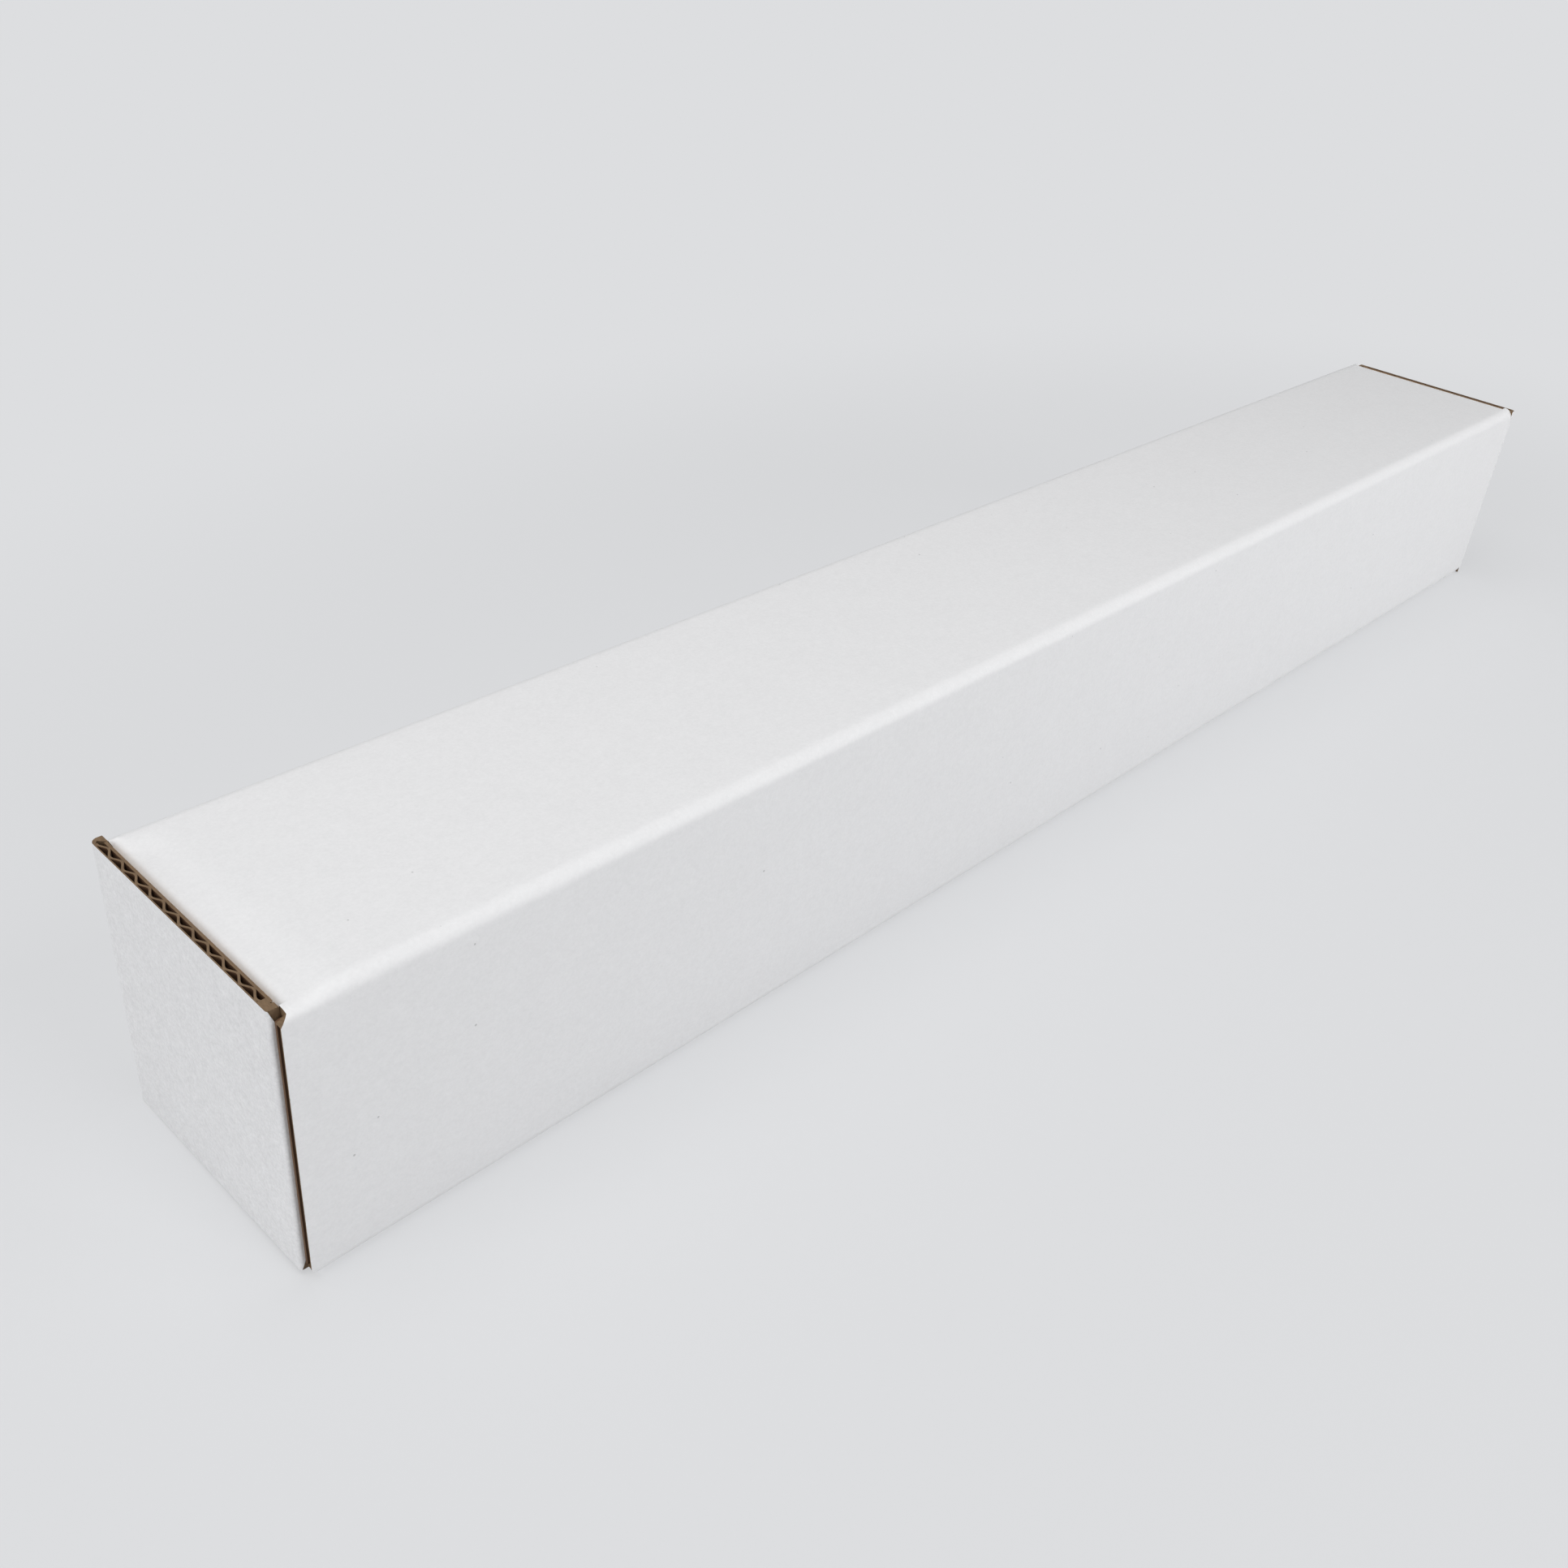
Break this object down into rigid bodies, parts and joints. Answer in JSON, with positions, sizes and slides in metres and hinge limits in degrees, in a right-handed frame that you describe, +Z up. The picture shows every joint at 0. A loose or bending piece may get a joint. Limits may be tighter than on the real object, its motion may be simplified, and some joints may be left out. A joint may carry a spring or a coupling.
{
  "type": "cardboard mailing tube",
  "caption": "Square mailing tube of white-faced corrugated board, folded from a single sheet, with a hinged tuck flap closing each end.",
  "frame": {"origin": "middle of the long face that the tube lies on, at the level of that face", "axes": "+X along the tube from the near end to the far end, +Y towards the wall that carries the glue lap and the near end flap, +Z up"},
  "size_m": [0.6474, 0.0822, 0.084],
  "materials": {
    "tube_board": "matt",
    "flap_board": "matt"
  },
  "bodies": {
    "tube": {"tube_body": "tube_board"},
    "near_flap": {"near_end_flap": "flap_board"},
    "far_flap": {"far_end_flap": "flap_board"}
  },
  "joints": [
    {"name": "near_flap_hinge", "type": "hinge", "parent": "tube", "child": "near_flap", "pos_m": [-0.3237, 0.0411, 0.042], "axis": [0, 0, -1], "range_deg": [0, 180]},
    {"name": "far_flap_hinge", "type": "hinge", "parent": "tube", "child": "far_flap", "pos_m": [0.3237, -0.0411, 0.042], "axis": [0, 0, -1], "range_deg": [0, 180]}
  ]
}
